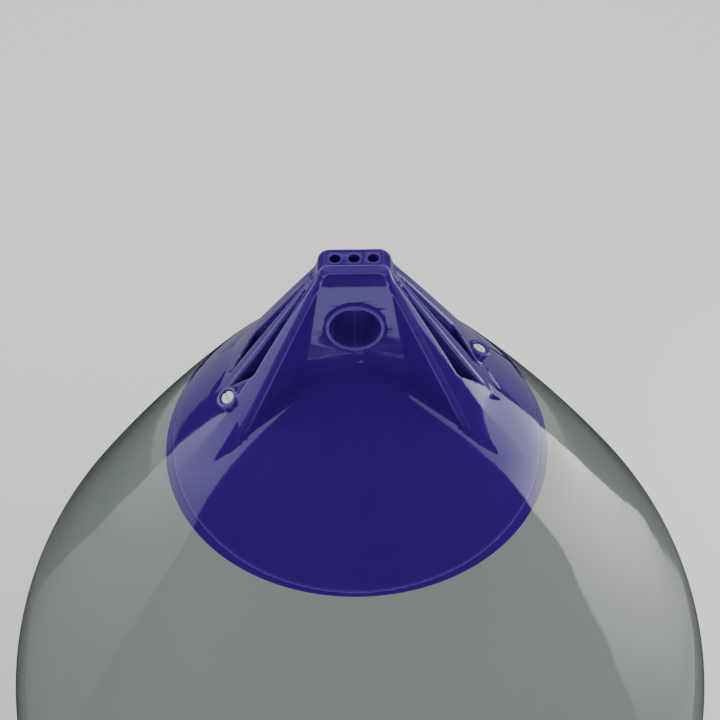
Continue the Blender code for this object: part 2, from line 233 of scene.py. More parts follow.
# Even lamps: centre, half of each side, brightness
FRONT_CARD = ((0, -1.21, -0.80), (0.9, 0, 0), (0, 0.152, 0), 1.8)
FLOOR_CARD = ((0, 1.70, -0.84), (1.8, 0, 0), (0, 0.8, 0), 0.35)
BACK_SOFTBOX = ((0, 0.90, 1.75), (0.7, 0, 0), (0, -0.2, 0.1), 3.0)
SKY = 1.05
FLOOR_PALENESS = 0.93
FLOOR_HALF_WIDTH = 30


class BuoyColours(bpy.types.PropertyGroup):
    grey: FloatVectorProperty(
        name="Body",
        description="Colour of the grey vinyl body",
        subtype="COLOR",
        size=3,
        default=(0.200, 0.231, 0.217),
    )
    violet: FloatVectorProperty(
        name="End",
        description="Colour of the violet rope-eye end",
        subtype="COLOR",
        size=3,
        default=(0.031, 0.0036, 0.160),
    )
    screw: FloatVectorProperty(
        name="Valve screws",
        description="Colour of the nylon valve screws",
        subtype="COLOR",
        size=3,
        default=(0.80, 0.79, 0.77),
    )


class BuoySizes(bpy.types.PropertyGroup):
    crest_rounding: FloatProperty(
        name="Rib edges",
        description="Radius of the ribs' outer edges beside the eye",
        default=0.0042,
        unit="LENGTH",
    )
    floor_fillet: FloatProperty(
        name="Foot of the ribs",
        description="Radius where the ribs and the eye meet the dome",
        default=0.0007,
        unit="LENGTH",
    )
    grain: FloatProperty(
        name="Mesh grain",
        description="Size of the faces that the rope-eye end is made of, before its details",
        default=0.0019,
        unit="LENGTH",
    )
    turns: IntProperty(
        name="Steps round the body",
        description="Number of faces round the body",
        default=288,
        min=32,
    )


# Meshes


def sizes():
    """The sizes that a user can change."""
    return bpy.context.scene.buoy_sizes


def colours():
    """The colours that a user can change."""
    return bpy.context.scene.buoy_colours


def add_piece(name, bm, body, nodes=(), finish=None, smooth=True):
    """Makes a finished piece that rides on a body and stands for its CAD nodes."""
    mesh = bpy.data.meshes.new(name)
    bm.to_mesh(mesh)
    bm.free()
    piece = bpy.data.objects.new(name, mesh)
    bpy.context.scene.collection.objects.link(piece)
    if smooth:
        mesh.shade_smooth()
        mesh.set_sharp_from_angle(angle=SHARP_ANGLE)
    if finish:
        mesh.materials.append(finish)
    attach(piece, body)
    if nodes:
        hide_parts(*nodes)
    return piece


def turned(outline, steps, closed=False):
    """A shape turned from an outline of (radius, height) that is closed or ends on the axis."""
    bm = bmesh.new()
    verts = [bm.verts.new((radius, 0, height)) for radius, height in outline]
    ends = verts[1:] + verts[:1] if closed else verts[1:]
    edges = [bm.edges.new(pair) for pair in zip(verts, ends)]
    bmesh.ops.spin(
        bm,
        geom=verts + edges,
        cent=(0, 0, 0),
        axis=(0, 0, 1),
        angle=2 * math.pi,
        steps=steps,
        use_merge=True,
    )
    bmesh.ops.remove_doubles(bm, verts=bm.verts, dist=TURNED_MERGE)
    bmesh.ops.recalc_face_normals(bm, faces=bm.faces)
    return bm


def arc(start, tilt, end_tilt, radius, steps):
    """(radius, height, normal's tilt) along an arc that leaves a point with a given normal."""
    centre_r = start[0] - radius * math.cos(tilt)
    centre_z = start[1] - radius * math.sin(tilt)
    points = []
    for step in range(steps + 1):
        angle = tilt + (end_tilt - tilt) * step / steps
        points.append(
            (centre_r + radius * math.cos(angle), centre_z + radius * math.sin(angle), angle)
        )
    return points


def flank_outline(shoulder_steps=44, flank_steps=40):
    """The same from the equator up to the rim, where the end begins."""
    shoulder = arc((BODY_RADIUS, EQUATOR), 0, SHOULDER_TILT, SHOULDER_RADIUS, shoulder_steps)
    flank_radius = FLANK_LENGTH / (FLANK_TILT - SHOULDER_TILT)
    flank = arc(shoulder[-1], SHOULDER_TILT, FLANK_TILT, flank_radius, flank_steps)
    return shoulder[:-1] + flank


RIM = flank_outline(1, 1)[-1]
DOME_CENTRE = (
    RIM[0] - DOME_RADIUS * math.cos(FLANK_TILT),
    RIM[1] - DOME_RADIUS * math.sin(FLANK_TILT),
)


def on_dome(angle, depth):
    """(radius, height) a depth inside the dome, where its outward normal is tilted up this far."""
    radius = DOME_RADIUS - depth
    return DOME_CENTRE[0] + radius * math.cos(angle), DOME_CENTRE[1] + radius * math.sin(angle)


def under_dome(depth, steps):
    """(radius, height) up a surface a depth inside the dome, ending on the axis."""
    radius = DOME_RADIUS - depth
    top = math.acos(-DOME_CENTRE[0] / radius)
    points = []
    for step in range(steps + 1):
        angle = FLANK_TILT + (top - FLANK_TILT) * step / steps
        r = DOME_CENTRE[0] + radius * math.cos(angle)
        points.append((max(r, 0.0), DOME_CENTRE[1] + radius * math.sin(angle)))
    points[-1] = (0.0, points[-1][1])
    return points


# The form of the rope-eye end, as a distance that is negative inside it


def round_both(a, b, radius):
    """What lies in both, with a round outer edge."""
    corner = np.hypot(np.maximum(a + radius, 0), np.maximum(b + radius, 0))
    return np.minimum(-radius, np.maximum(a, b)) + corner


def round_either(a, b, radius):
    """What lies in either, with a fillet between them."""
    return -round_both(-a, -b, radius)


def eye_space(x, y, z):
    """The open space before or behind the eye, between the webs."""
    below = FACE_TOP - z
    # Upright beside the crown, and then bending softly into the leaning face
    below = (below + np.sqrt(below**2 + FACE_BEND**2)) / 2
    face = FACE_LIP_DEPTH + below * math.tan(FACE_LEAN)
    before = (face - y) * math.cos(FACE_LEAN)
    between = (x - WEB_START) * math.sin(WEB_ANGLE) - y * math.cos(WEB_ANGLE)
    return round_both(before, between, WEB_FILLET)


def pocket_space(x, y):
    """The space between two ribs."""
    start = (POCKET_START, MIDDLE_RIB_HALF_WIDTH)
    end = (POCKET_END, MIDDLE_RIB_HALF_WIDTH)
    rib = math.atan2(POCKET_CORNER[1] - start[1], POCKET_CORNER[0] - start[0])
    edge = math.atan2(end[0] - POCKET_CORNER[0], POCKET_CORNER[1] - end[1])
    beside_middle = start[1] + MIDDLE_RIB_FLARE * np.maximum(x - start[0], 0) - y
    beside_rib = (y - start[1]) * math.cos(rib) - (x - start[0]) * math.sin(rib)
    before_end = (x - end[0]) * math.cos(edge) + (y - end[1]) * math.sin(edge)
    wedge = round_both(beside_middle, beside_rib, POCKET_FILLET)
    return round_both(wedge, before_end, POCKET_END_FILLET)


def crown_form(x, y, z):
    """The crown, which reaches into the open spaces before and behind it until they are cut."""
    half_depth = FACE_LIP_DEPTH + CROWN_CORNER / 2
    across = np.hypot(
        np.maximum(x - CROWN_HALF_LENGTH + CROWN_CORNER, 0),
        np.maximum(y - half_depth + CROWN_CORNER, 0),
    )
    inner = np.maximum(x - CROWN_HALF_LENGTH, y - half_depth) + CROWN_CORNER
    plan = across + np.minimum(inner, 0) - CROWN_CORNER
    upper = z - CROWN_HEIGHT
    lower = FACE_TOP - CROWN_ROOT - z
    # The ends of the crown fall away more than its long edges
    rounding = CROWN_EDGE + CROWN_END_EDGE * np.clip((x - CROWN_END) / CROWN_END, 0, 1)
    return round_both(round_both(plan, upper, rounding), lower, CROWN_FOOT_EDGE)


def valve_form(solid, x, y, z):
    """Adds a valve's collar and cuts what its insert sits in."""
    offset = np.stack([x - VALVE_PLACE.x, y - VALVE_PLACE.y, z - VALVE_PLACE.z], axis=1)
    along = offset @ np.array(VALVE_AXIS)
    around = np.sqrt(np.maximum((offset**2).sum(axis=1) - along**2, 0))
    collar = round_both(around - COLLAR_RADIUS, along - COLLAR_HEIGHT, COLLAR_EDGE)
    collar = np.maximum(collar, -COLLAR_ROOT - along)
    solid = round_either(solid, collar, COLLAR_FILLET)
    insert_end = INSERT_TOP - INSERT_LENGTH - GAP
    recess = np.maximum(around - BORE_RADIUS, insert_end - along)
    solid = round_both(solid, -recess, BORE_MOUTH_EDGE)
    middle = FLANGE_TOP - FLANGE_THICKNESS / 2
    groove = np.maximum(
        around - FLANGE_RADIUS - GAP, np.abs(along - middle) - FLANGE_THICKNESS / 2 - GAP
    )
    solid = np.maximum(solid, -groove)
    air_way = np.maximum(around - THREAD_RADIUS, along - insert_end - AIR_WAY_LAP)
    return np.maximum(solid, -air_way)


def end_form(points):
    """Distance from the surface of the rope-eye end."""
    x, y, z = points.T
    radius = np.hypot(x, y)
    dome = np.hypot(radius - DOME_CENTRE[0], z - DOME_CENTRE[1]) - DOME_RADIUS
    # Turned half round, the left side is the right one
    side_x, side_y = np.abs(x), np.where(x < 0, -y, y)
    deep = np.abs(y)
    reach = np.hypot(side_x + TENT_OFFSET, side_y - TENT_SKEW) - TENT_OFFSET
    reach += RIB_FALL * np.maximum(-y - RIB_FALL_START * side_x, 0)
    tent = (reach - TENT_TOP_RADIUS) * math.cos(TENT_SLOPE) - (FACE_TOP - z) * math.sin(TENT_SLOPE)
    tent = np.maximum(tent, z - FACE_TOP - CROWN_ROOT)
    eye = eye_space(side_x, deep, z)
    pocket = pocket_space(side_x, deep)
    ribs = round_either(tent, crown_form(side_x, deep, z), CROWN_FILLET)
    ribs = round_both(ribs, -eye, sizes().crest_rounding)
    ribs = round_both(ribs, -pocket, POCKET_EDGE)
    # The foot is crisp in the open spaces and soft outside them
    away = np.clip(np.minimum(eye, pocket) / OUTER_FILLET_START, 0, 1)
    solid = round_either(dome, ribs, sizes().floor_fillet + OUTER_FILLET * away)

    face = FACE_LIP_DEPTH + FACE_TOP * math.tan(FACE_LEAN) - BEAD_SINK
    out = (deep - face) * math.cos(FACE_LEAN) + z * math.sin(FACE_LEAN)
    up = z * math.cos(FACE_LEAN) - (deep - face) * math.sin(FACE_LEAN)
    ring = np.hypot(np.hypot(x, up) - ROPE_HOLE_RADIUS - BEAD_REACH, out) - BEAD_WIDTH
    solid = round_either(solid, ring, BEAD_FILLET)
    bore = np.hypot(x, z) - ROPE_HOLE_RADIUS
    solid = round_both(solid, -bore, BORE_EDGE)

    step = np.clip(np.round(x / CROWN_HOLE_PITCH), -1, 1) * CROWN_HOLE_PITCH
    hole = np.hypot(x - step, y) - CROWN_HOLE_RADIUS
    hole = np.maximum(hole, CROWN_HEIGHT - CROWN_HOLE_DEPTH - z)
    solid = round_both(solid, -hole, CROWN_HOLE_EDGE)
    solid = valve_form(solid, side_x, side_y, z)

    beyond = (radius - RIM[0]) * math.sin(FLANK_TILT) - (z - RIM[1]) * math.cos(FLANK_TILT)
    solid = np.maximum(solid, -(dome + END_WALL))
    return np.maximum(solid, beyond)


def slope_of(points, value):
    """Direction and steepness of the form's distance at some points."""
    slope = np.empty_like(points)
    for axis in range(3):
        moved = points.copy()
        moved[:, axis] += PROBE
        slope[:, axis] = (end_form(moved) - value) / PROBE
    return slope


def settle(points, rounds):
    """Moves points onto the form's surface."""
    for _ in range(rounds):
        value = end_form(points)
        slope = slope_of(points, value)
        steep = np.maximum((slope**2).sum(axis=1), LEAST_STEEPNESS)
        step = slope * (value / steep)[:, None]
        length = np.maximum(np.sqrt((step**2).sum(axis=1)), 1e-9)
        points = points - step * np.minimum(1, LONGEST_STEP / length)[:, None]
    return points


def relax(points, pairs, rounds):
    """Evens out the spacing of points along the form's surface."""
    count = np.bincount(pairs.ravel(), minlength=len(points)).astype(float)
    for _ in range(rounds):
        total = np.zeros_like(points)
        for axis in range(3):
            total[:, axis] = np.bincount(
                pairs[:, 0], points[pairs[:, 1], axis], minlength=len(points)
            )
            total[:, axis] += np.bincount(
                pairs[:, 1], points[pairs[:, 0], axis], minlength=len(points)
            )
        shift = total / count[:, None] - points
        normal = slope_of(points, end_form(points))
        normal /= np.maximum(np.sqrt((normal**2).sum(axis=1)), 1e-9)[:, None]
        shift -= normal * (shift * normal).sum(axis=1)[:, None]
        points = settle(points + EVENING * shift, 1)
    return points


def mesh_points(mesh):
    """The places of a mesh's points, one row each."""
    points = np.empty(len(mesh.vertices) * 3)
    mesh.vertices.foreach_get("co", points)
    return points.reshape(-1, 3)


def mesh_pairs(mesh):
    """The two points of each edge, one row each."""
    pairs = np.empty(len(mesh.edges) * 2, np.int64)
    mesh.edges.foreach_get("vertices", pairs)
    return pairs.reshape(-1, 2)


def shape_points(mesh, relax_rounds, settle_rounds):
    """Lays a mesh on the form of the rope-eye end."""
    points = settle(mesh_points(mesh), settle_rounds)
    points = relax(points, mesh_pairs(mesh), relax_rounds)
    points = settle(points, 3)
    mesh.vertices.foreach_set("co", points.ravel())
    mesh.update()


def evaluated_copy(obj):
    """A mesh of an object as its modifiers leave it."""
    graph = bpy.context.evaluated_depsgraph_get()
    return bpy.data.meshes.new_from_object(obj.evaluated_get(graph))


def even_mesh_of(node, grain):
    """A copy of a CAD node, made of even small faces."""
    bm = bmesh.new()
    bm.from_mesh(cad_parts[node].data)
    bmesh.ops.remove_doubles(bm, verts=bm.verts, dist=MERGE)
    mesh = bpy.data.meshes.new("draft")
    bm.to_mesh(mesh)
    bm.free()
    draft = bpy.data.objects.new("draft", mesh)
    bpy.context.scene.collection.objects.link(draft)
    remesh = draft.modifiers.new("even", "REMESH")
    remesh.mode = "VOXEL"
    remesh.voxel_size = grain
    even = evaluated_copy(draft)
    bpy.data.objects.remove(draft)
    return even


def refine_details(mesh):
    """Splits the faces that aren't on the plain dome or under it."""
    bm = bmesh.new()
    bm.from_mesh(mesh)
    bm.faces.ensure_lookup_table()
    centres = np.array([face.calc_center_median() for face in bm.faces])
    normals = np.array([face.normal for face in bm.faces])
    radius = np.hypot(centres[:, 0], centres[:, 1])
    out_r = radius - DOME_CENTRE[0]
    out_z = centres[:, 2] - DOME_CENTRE[1]
    length = np.hypot(out_r, out_z)
    dome = length - DOME_RADIUS
    away = np.stack(
        [
            out_r * centres[:, 0] / np.maximum(radius, 1e-6),
            out_r * centres[:, 1] / np.maximum(radius, 1e-6),
            out_z,
        ],
        axis=1,
    )
    facing = (normals * away).sum(axis=1) / length
    wanted = (facing < DETAIL_FACING) | (dome > DETAIL_DEPTH)
    wanted &= (dome > -DETAIL_DEPTH) & (radius < DETAIL_REACH)
    edges = {edge for face, chosen in zip(bm.faces, wanted) if chosen for edge in face.edges}
    bmesh.ops.subdivide_edges(bm, edges=list(edges), cuts=1, use_grid_fill=True)
    bm.to_mesh(mesh)
    bm.free()


def refine_crown(mesh):
    """Splits the faces of the crown and the collars once more, for their holes' sake."""
    bm = bmesh.new()
    bm.from_mesh(mesh)
    edges = set()
    for face in bm.faces:
        centre = face.calc_center_median()
        if centre.x < 0:
            centre.xy = -centre.xy
        if centre.z > FACE_TOP or (centre - VALVE_PLACE).length < COLLAR_SURROUND:
            edges.update(face.edges)
    bmesh.ops.subdivide_edges(bm, edges=list(edges), cuts=1, use_grid_fill=True)
    bm.to_mesh(mesh)
    bm.free()


def thinned(mesh, share):
    """A copy with this share of the faces, fewer where it is plain."""
    draft = bpy.data.objects.new("draft", mesh)
    bpy.context.scene.collection.objects.link(draft)
    thin = draft.modifiers.new("thin", "DECIMATE")
    thin.ratio = share
    bpy.context.view_layer.update()
    copy = evaluated_copy(draft)
    bpy.data.objects.remove(draft)
    return copy


def mark_crest_highlights(mesh):
    """Stores how strongly each point stands out from those around it, from 0 to 1, as the strength
    of the painted highlight along the end's edges.
    """
    points = mesh_points(mesh)
    pairs = mesh_pairs(mesh)
    count = np.bincount(pairs.ravel(), minlength=len(points)).astype(float)
    normals = np.empty(len(points) * 3)
    mesh.vertex_normals.foreach_get("vector", normals)
    normals = normals.reshape(-1, 3)
    step = points[pairs[:, 1]] - points[pairs[:, 0]]
    length = (step**2).sum(axis=1)
    here = -(step * normals[pairs[:, 0]]).sum(axis=1) / length
    there = (step * normals[pairs[:, 1]]).sum(axis=1) / length
    bend = np.bincount(pairs[:, 0], here, len(points))
    bend += np.bincount(pairs[:, 1], there, len(points))
    bend /= count
    for _ in range(CREST_ROUNDS):
        spread = np.bincount(pairs[:, 0], bend[pairs[:, 1]], len(points))
        spread += np.bincount(pairs[:, 1], bend[pairs[:, 0]], len(points))
        bend = 0.5 * bend + 0.5 * spread / count
    crest = np.clip((bend - CREST_LEAST) / CREST_RANGE, 0, 1)
    # Painted highlight strength, stored on the points for the violet material
    mark = mesh.attributes.new("crest", "FLOAT", "POINT")
    mark.data.foreach_set("value", crest.astype(np.float32))


def place_valve(bm, side, lift=0.0):
    """Moves a part made on the Z axis to its valve. side is 1 at the right and -1 at the left."""
    turn = VALVE_AXIS.to_track_quat("Z", "Y").to_matrix().to_4x4()
    place = Matrix.Translation(VALVE_PLACE) @ turn @ Matrix.Translation((0, 0, lift))
    if side < 0:
        place = Matrix.Rotation(math.pi, 4, "Z") @ place
    bmesh.ops.transform(bm, matrix=place, verts=bm.verts)


# Materials


class Socket:
    """A shader socket whose sums and products become Math nodes."""

    def __init__(self, tree, socket):
        self.tree = tree
        self.socket = socket

    def maths(self, operation, first, second):
        return self.tree.node("ShaderNodeMath", {"operation": operation}, {0: first, 1: second})

    def __add__(self, other):
        return self.maths("ADD", self, other)

    def __radd__(self, other):
        return self.maths("ADD", other, self)

    def __sub__(self, other):
        return self.maths("SUBTRACT", self, other)

    def __rsub__(self, other):
        return self.maths("SUBTRACT", other, self)

    def __mul__(self, other):
        return self.maths("MULTIPLY", self, other)

    def __rmul__(self, other):
        return self.maths("MULTIPLY", other, self)


class Finish:
    """A material being made, with its Principled shader."""

    def __init__(self, name, constants):
        self.material = bpy.data.materials.new(name)
        self.material.use_nodes = True
        self.nodes = self.material.node_tree.nodes
        self.links = self.material.node_tree.links
        self.shader = self.nodes["Principled BSDF"]
        for socket, value in constants.items():
            self.shader.inputs[socket].default_value = value

    def node(self, kind, settings=None, inputs=None, output=0):
        made = self.nodes.new(kind)
        for name, value in (settings or {}).items():
            if name == "stops":
                self.set_stops(made.color_ramp, value)
            else:
                setattr(made, name, value)
        for name, value in (inputs or {}).items():
            self.feed(made.inputs[name], value)
        return Socket(self, made.outputs[output])

    def set_stops(self, ramp, stops):
        while len(ramp.elements) < len(stops):
            ramp.elements.new(0.5)
        for element, (position, value) in zip(ramp.elements, stops):
            element.position = position
            element.color = (value, value, value, 1)

    def feed(self, socket, value):
        if isinstance(value, Socket):
            self.links.new(value.socket, socket)
        else:
            socket.default_value = value

    def place(self, scale=(1, 1, 1)):
        """The piece's own coordinates, stretched."""
        spot = self.node("ShaderNodeTexCoord", output="Object")
        return self.node("ShaderNodeMapping", inputs={"Vector": spot, "Scale": scale})

    def noise(self, scale, detail=2.0, roughness=0.5, stretch=(1, 1, 1)):
        inputs = {"Vector": self.place(stretch), "Scale": scale, "Detail": detail}
        inputs["Roughness"] = roughness
        return self.node("ShaderNodeTexNoise", inputs=inputs)

    def ramp(self, value, stops):
        return self.node("ShaderNodeValToRGB", {"stops": stops}, {"Fac": value})

    def blend(self, amount, first, second):
        """Mixes two colours."""
        settings = {"data_type": "RGBA"}
        inputs = {"Factor": amount, 6: first, 7: second}
        return self.node("ShaderNodeMix", settings, inputs, output=2)

    def bump(self, height, distance, strength=1.0, normal=None):
        inputs = {"Height": height, "Distance": distance, "Strength": strength}
        if normal:
            inputs["Normal"] = normal
        return self.node("ShaderNodeBump", inputs=inputs)

    def finish(self, **values):
        for name, value in values.items():
            self.feed(self.shader.inputs[name.replace("_", " ")], value)
        return self.material


def shade(colour, factor):
    """The same colour, darker or lighter."""
    return tuple(min(1.0, part * factor) for part in colour) + (1,)


def end_overlap(finish):
    """1 where the end's violet runs over the body's edge, further at its sides than in front."""
    spot = finish.node("ShaderNodeTexCoord", output="Object")
    x = finish.node("ShaderNodeSeparateXYZ", inputs={"Vector": spot}, output="X")
    y = finish.node("ShaderNodeSeparateXYZ", inputs={"Vector": spot}, output="Y")
    z = finish.node("ShaderNodeSeparateXYZ", inputs={"Vector": spot}, output="Z")
    edge = (RIM[0] + OVERLAP) ** 2
    over = x * x * (2 * SIDE_OVERLAP / RIM[0]) + edge - (x * x + y * y)
    inside = finish.node("ShaderNodeMath", {"operation": "GREATER_THAN"}, {0: over, 1: 0.0})
    top = finish.node("ShaderNodeMath", {"operation": "GREATER_THAN"}, {0: z, 1: EQUATOR})
    return inside * top


def grey_vinyl():
    finish = Finish("grey_vinyl", {"IOR": 1.5, "Specular IOR Level": 0.5})
    colour = tuple(colours().grey)
    cloud = finish.noise(7.0, 3.0, 0.55)
    speck = finish.ramp(finish.noise(900.0, 2.0, 0.6), [(0.66, 0), (0.74, 1)])
    base = finish.blend(cloud, shade(colour, 0.95), shade(colour, 1.05))
    base = finish.blend(speck * 0.10, base, shade(colour, 0.72))
    base = finish.blend(end_overlap(finish), base, shade(tuple(colours().violet), 1.0))
    smudge = finish.noise(24.0, 4.0, 0.6)
    waves = finish.noise(9.0, 1.0, 0.4)
    ripples = finish.noise(45.0, 2.0, 0.5)
    skin = finish.noise(420.0, 2.0, 0.5)
    normal = finish.bump(waves, 0.0022)
    normal = finish.bump(ripples, 0.00012, normal=normal)
    normal = finish.bump(skin, 0.000003, normal=normal)
    return finish.finish(Base_Color=base, Roughness=0.04 + smudge * 0.05, Normal=normal)


def violet_vinyl():
    constants = {"IOR": 1.5, "Specular IOR Level": 0.75, "Specular Tint": (0.62, 0.66, 1.0, 1)}
    finish = Finish("violet_vinyl", constants)
    colour = tuple(colours().violet)
    cloud = finish.noise(30.0, 3.0, 0.55)
    base = finish.blend(cloud, shade(colour, 0.88), shade(colour, 1.12))
    crest = finish.node("ShaderNodeAttribute", {"attribute_name": "crest"}, output="Fac")
    # Painted highlight: lighter lilac blended in along the convex edges
    base = finish.blend(crest * CREST_HIGHLIGHT_SHARE, base, CREST_HIGHLIGHT_COLOUR)
    smudge = finish.noise(60.0, 4.0, 0.6)
    ripples = finish.noise(70.0, 2.0, 0.5)
    skin = finish.noise(600.0, 2.0, 0.5)
    normal = finish.bump(ripples, 0.00004)
    normal = finish.bump(skin, 0.000003, normal=normal)
    return finish.finish(Base_Color=base, Roughness=0.04 + smudge * 0.06, Normal=normal)


def nylon(name, colour, roughness):
    finish = Finish(name, {"IOR": 1.53, "Specular IOR Level": 0.5})
    grime = finish.noise(500.0, 4.0, 0.6)
    base = finish.blend(grime, shade(colour, 0.86), shade(colour, 1.06))
    skin = finish.noise(1500.0, 3.0, 0.55)
    normal = finish.bump(skin, 0.00002)
    return finish.finish(Base_Color=base, Roughness=roughness + grime * 0.12, Normal=normal)


def sealing_rubber():
    finish = Finish("black_rubber", {"IOR": 1.5, "Specular IOR Level": 0.4})
    grime = finish.noise(700.0, 3.0, 0.6)
    base = finish.blend(grime, (0.012, 0.012, 0.012, 1), (0.035, 0.034, 0.033, 1))
    normal = finish.bump(finish.noise(1800.0, 2.0, 0.5), 0.00002)
    return finish.finish(Base_Color=base, Roughness=0.45 + grime * 0.2, Normal=normal)


# Operators


class BUOY_OT_body(bpy.types.Operator):
    """Makes the blown vinyl body"""

    bl_idname = "buoy.body"
    bl_label = "Body"

    def execute(self, context):
        flank = flank_outline()
        bottom = (BODY_RADIUS, EQUATOR), 0, -math.pi / 2, BODY_RADIUS, BOTTOM_STEPS
        below = arc(*bottom)
        depth = END_WALL + SEAM
        # Its edge laps under the end's skin, which is fused to it
        lap = [on_dome(FLANK_TILT + LAP * part / DOME_RADIUS, 2 * SEAM) for part in (0, 0.5, 1)]
        lap.append(on_dome(FLANK_TILT + LAP / DOME_RADIUS, END_WALL / 2))
        lap.append(on_dome(FLANK_TILT, END_WALL / 2))
        top = under_dome(depth, DOME_STEPS)
        outline = [(r, z) for r, z, _ in below[1:]][::-1]
        outline[0] = (0.0, outline[0][1])
        outline += [(r, z) for r, z, _ in flank] + lap + top
        bm = turned(outline, sizes().turns)
        add_piece("body_skin", bm, "buoy", ["buoy_body"], grey_vinyl())
        return {"FINISHED"}


class BUOY_OT_rope_eye_end(bpy.types.Operator):
    """Makes the moulded end with its ribs, eye, crown and valve collars"""

    bl_idname = "buoy.rope_eye_end"
    bl_label = "Rope-eye end"

    def execute(self, context):
        mesh = even_mesh_of("rope_eye_end", sizes().grain)
        if not mesh.polygons:
            raise RuntimeError("the end's mesh came out empty")
        shape_points(mesh, relax_rounds=4, settle_rounds=5)
        refine_details(mesh)
        shape_points(mesh, relax_rounds=3, settle_rounds=3)
        refine_crown(mesh)
        shape_points(mesh, relax_rounds=2, settle_rounds=2)
        mark_crest_highlights(mesh)
        mesh = thinned(mesh, KEPT_FACES)
        bm = bmesh.new()
        bm.from_mesh(mesh)
        bpy.data.meshes.remove(mesh)
        bmesh.ops.recalc_face_normals(bm, faces=bm.faces)
        add_piece("rope_end", bm, "buoy", ["rope_eye_end"], violet_vinyl())
        return {"FINISHED"}


def make_insert():
    """A flanged nylon insert with its bore."""
    end = INSERT_TOP - INSERT_LENGTH
    low = FLANGE_TOP - FLANGE_THICKNESS
    outline = [
        (THREAD_RADIUS + INSERT_EDGE, INSERT_TOP),
        (INSERT_RADIUS - INSERT_EDGE, INSERT_TOP),
        (INSERT_RADIUS, INSERT_TOP - INSERT_EDGE),
        (INSERT_RADIUS, FLANGE_TOP),
        (FLANGE_RADIUS, FLANGE_TOP),
        (FLANGE_RADIUS, low),
        (INSERT_RADIUS, low),
        (INSERT_RADIUS, end),
        (THREAD_RADIUS, end),
        (THREAD_RADIUS, INSERT_TOP - INSERT_EDGE),
    ]
    return turned(outline, VALVE_STEPS, closed=True)


def make_seal():
    """A round ring that lies about the screw's shank."""
    points = []
    radius = SEAL_THICKNESS / 2
    for step in range(SEAL_STEPS):
        angle = 2 * math.pi * step / SEAL_STEPS
        points.append((SEAL_RADIUS + radius * math.cos(angle), radius * math.sin(angle)))
    return turned(points, VALVE_STEPS, closed=True)


def add_thread(bm):
    """Winds the thread's ridge round the shank."""
    outline = [
        (RIDGE_ROOT, -RIDGE_HALF_WIDTH),
        (RIDGE_ROOT, RIDGE_HALF_WIDTH),
        (RIDGE_CREST, RIDGE_HALF_CREST),
        (RIDGE_CREST, -RIDGE_HALF_CREST),
    ]
    verts = [bm.verts.new((radius, 0, THREAD_START + height)) for radius, height in outline]
    face = bm.faces.new(verts)
    turns = (THREAD_END - THREAD_START) / THREAD_PITCH
    bmesh.ops.spin(
        bm,
        geom=[face],
        cent=(0, 0, 0),
        axis=(0, 0, 1),
        dvec=(0, 0, THREAD_PITCH / THREAD_STEPS),
        angle=2 * math.pi * turns,
        steps=int(THREAD_STEPS * turns),
    )


def make_screw():
    """A slotted screw with its thread."""
    top = HEAD_UNDERSIDE + HEAD_HEIGHT
    outline = [(0.0, top + HEAD_CROWNING), (HEAD_FLAT, top)]
    for step in range(HEAD_STEPS + 1):
        angle = math.pi / 2 * (1 - step / HEAD_STEPS)
        out = HEAD_RADIUS - HEAD_EDGE + HEAD_EDGE * math.cos(angle)
        outline.append((out, top - HEAD_EDGE + HEAD_EDGE * math.sin(angle)))
    outline += [
        (HEAD_RADIUS, HEAD_UNDERSIDE + HEAD_BEVEL),
        (HEAD_RADIUS - HEAD_BEVEL, HEAD_UNDERSIDE),
        (SHANK_RADIUS, HEAD_UNDERSIDE),
        (SHANK_RADIUS, SHANK_END + SHANK_TIP),
        (SHANK_RADIUS - SHANK_TIP, SHANK_END),
        (0.0, SHANK_END),
    ]
    return turned(outline, SCREW_STEPS)


def cut_slot(bm, name):
    """The screw with its slot cut, as a mesh."""
    mesh = bpy.data.meshes.new(name)
    bm.to_mesh(mesh)
    bm.free()
    screw = bpy.data.objects.new(name, mesh)
    cutter_bm = bmesh.new()
    bmesh.ops.create_cube(cutter_bm, size=1)
    size = (4 * HEAD_RADIUS, SLOT_WIDTH, 2 * SLOT_DEPTH)
    bmesh.ops.scale(cutter_bm, verts=cutter_bm.verts, vec=size)
    top = HEAD_UNDERSIDE + HEAD_HEIGHT
    bmesh.ops.translate(cutter_bm, verts=cutter_bm.verts, vec=(0, 0, top))
    cutter_mesh = bpy.data.meshes.new("slot")
    cutter_bm.to_mesh(cutter_mesh)
    cutter_bm.free()
    cutter = bpy.data.objects.new("slot", cutter_mesh)
    for obj in (screw, cutter):
        bpy.context.scene.collection.objects.link(obj)
    change = screw.modifiers.new("slot", "BOOLEAN")
    change.operation = "DIFFERENCE"
    change.solver = "EXACT"
    change.object = cutter
    bpy.context.view_layer.update()
    done = evaluated_copy(screw)
    bpy.data.objects.remove(screw)
    bpy.data.objects.remove(cutter)
    result = bmesh.new()
    result.from_mesh(done)
    bpy.data.meshes.remove(done)
    return result


SIDES = (("left", -1), ("right", 1))


class BUOY_OT_valve_inserts(bpy.types.Operator):
    """Makes the threaded inserts in the collars"""

    bl_idname = "buoy.valve_inserts"
    bl_label = "Valve inserts"

    def execute(self, context):
        finish = nylon("grey_nylon", (0.35, 0.35, 0.34), 0.35)
        for name, side in SIDES:
            bm = make_insert()
            place_valve(bm, side)
            node = "valve_insert_" + name
            add_piece("insert_" + name, bm, "buoy", [node], finish)
        return {"FINISHED"}


class BUOY_OT_valve_seals(bpy.types.Operator):
    """Makes the sealing rings under the screw heads"""

    bl_idname = "buoy.valve_seals"
    bl_label = "Valve seals"

    def execute(self, context):
        finish = sealing_rubber()
        for name, side in SIDES:
            bm = make_seal()
            place_valve(bm, side, SEAL_HEIGHT)
            node = "valve_seal_" + name
            add_piece("seal_" + name, bm, name + " plug", [node], finish)
        return {"FINISHED"}


